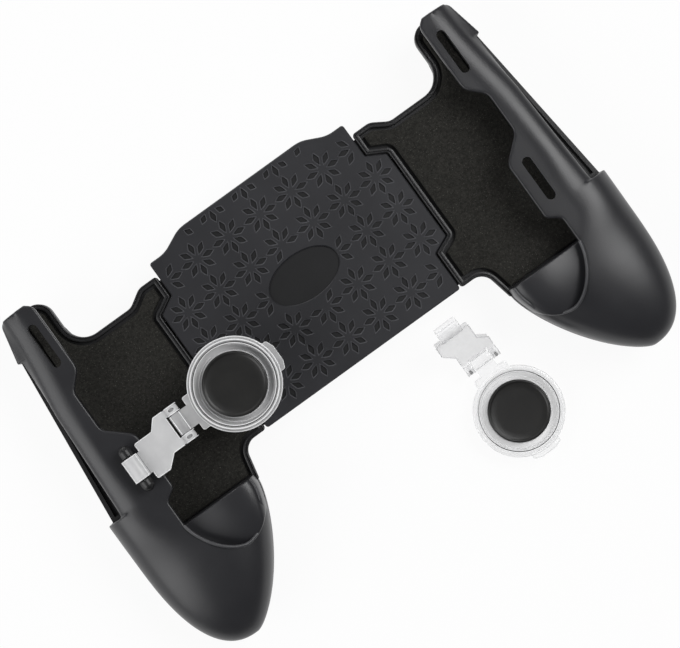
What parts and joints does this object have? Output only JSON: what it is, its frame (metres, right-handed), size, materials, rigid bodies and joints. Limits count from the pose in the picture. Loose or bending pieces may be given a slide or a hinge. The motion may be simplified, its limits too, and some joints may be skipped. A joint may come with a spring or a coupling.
{
  "type": "mobile game controller",
  "caption": "Extendable phone cradle with spring-loaded sliding hand grips, slotted lips over the phone bay, a patterned centre plate and clear clip-on thumb joysticks.",
  "frame": {"origin": "on the back cover's flat underside, on the centre line, level with the middle of the plate", "axes": "+X to the right-hand grip, +Y to the top of the cradle, +Z out of the cradle towards the player"},
  "size_m": [0.1644, 0.115, 0.0289],
  "materials": {
    "skin": "soft-touch dark blue-grey",
    "frame": "satin black moulding",
    "shell": "satin charcoal moulding",
    "foam": "fine-grained black foam",
    "steel": "plain steel",
    "bar": "glossy black",
    "clear": "clear moulding",
    "pad": "matte black",
    "contact": "conductive black rubber"
  },
  "bodies": {
    "centre": {"centre_skin": "skin", "centre_front_cover": "frame", "centre_back_cover": "frame", "centre_screws": "steel", "left_spring": "steel", "right_spring": "steel"},
    "left_handle": {"left_tray": "frame", "left_foam_pad": "foam", "left_front_shell": "shell", "left_rear_shell": "shell", "left_grip_screws": "steel", "left_clip_bar": "bar"},
    "right_handle": {"right_tray": "frame", "right_foam_pad": "foam", "right_front_shell": "shell", "right_rear_shell": "shell", "right_grip_screws": "steel"},
    "left_clip": {"left_stick_clip": "clear"},
    "left_ring": {"left_stick_ring": "clear"},
    "left_flexure": {"left_stick_flexure": "clear"},
    "left_disc": {"left_stick_carrier": "clear", "left_stick_thumb_pad": "pad", "left_stick_contact": "contact"},
    "right_ring": {"right_stick_ring": "clear"},
    "right_clip": {"right_stick_clip": "clear"},
    "right_flexure": {"right_stick_flexure": "clear"},
    "right_disc": {"right_stick_carrier": "clear", "right_stick_thumb_pad": "pad", "right_stick_contact": "contact"}
  },
  "joints": [
    {"name": "left_slide", "type": "slide", "parent": "centre", "child": "left_handle", "axis": [-1, 0, 0], "range_m": [0, 0.014], "stiffness_N_per_m": 200, "springref_m": -0.01, "deforming": ["left_spring"]},
    {"name": "right_slide", "type": "slide", "parent": "centre", "child": "right_handle", "axis": [1, 0, 0], "range_m": [0, 0.014], "stiffness_N_per_m": 200, "springref_m": -0.01, "deforming": ["right_spring"]},
    {"name": "left_clip_pivot", "type": "hinge", "parent": "left_handle", "child": "left_clip", "pos_m": [-0.0653, -0.0142, 0.0265], "axis": [0, -1, 0], "range_deg": [-4, 100]},
    {"name": "left_ring_hinge", "type": "hinge", "parent": "left_clip", "child": "left_ring", "pos_m": [-0.0489, -0.0113, 0.0258], "axis": [0, -1, 0], "range_deg": [-5, 95]},
    {"name": "left_stick_x", "type": "slide", "parent": "left_ring", "child": "left_flexure", "axis": [1, 0, 0], "range_m": [-0.0009, 0.0009], "stiffness_N_per_m": 150, "deforming": ["left_stick_flexure"]},
    {"name": "left_stick_y", "type": "slide", "parent": "left_flexure", "child": "left_disc", "axis": [0, 1, 0], "range_m": [-0.0009, 0.0009], "stiffness_N_per_m": 150, "deforming": ["left_stick_flexure"]},
    {"name": "right_stick_lift", "type": "slide", "parent": "centre", "child": "right_ring", "axis": [0, 0, 1], "range_m": [0, 0.06]},
    {"name": "right_clip_hinge", "type": "hinge", "parent": "right_ring", "child": "right_clip", "pos_m": [0.02579, -0.0453, 0.0042], "axis": [0.9998, 0.0175, 0], "range_deg": [-38, 55]},
    {"name": "right_stick_x", "type": "slide", "parent": "right_ring", "child": "right_flexure", "axis": [0.0175, -0.9998, 0], "range_m": [-0.0009, 0.0009], "stiffness_N_per_m": 150, "deforming": ["right_stick_flexure"]},
    {"name": "right_stick_y", "type": "slide", "parent": "right_flexure", "child": "right_disc", "axis": [0.9998, 0.0175, 0], "range_m": [-0.0009, 0.0009], "stiffness_N_per_m": 150, "deforming": ["right_stick_flexure"]}
  ]
}
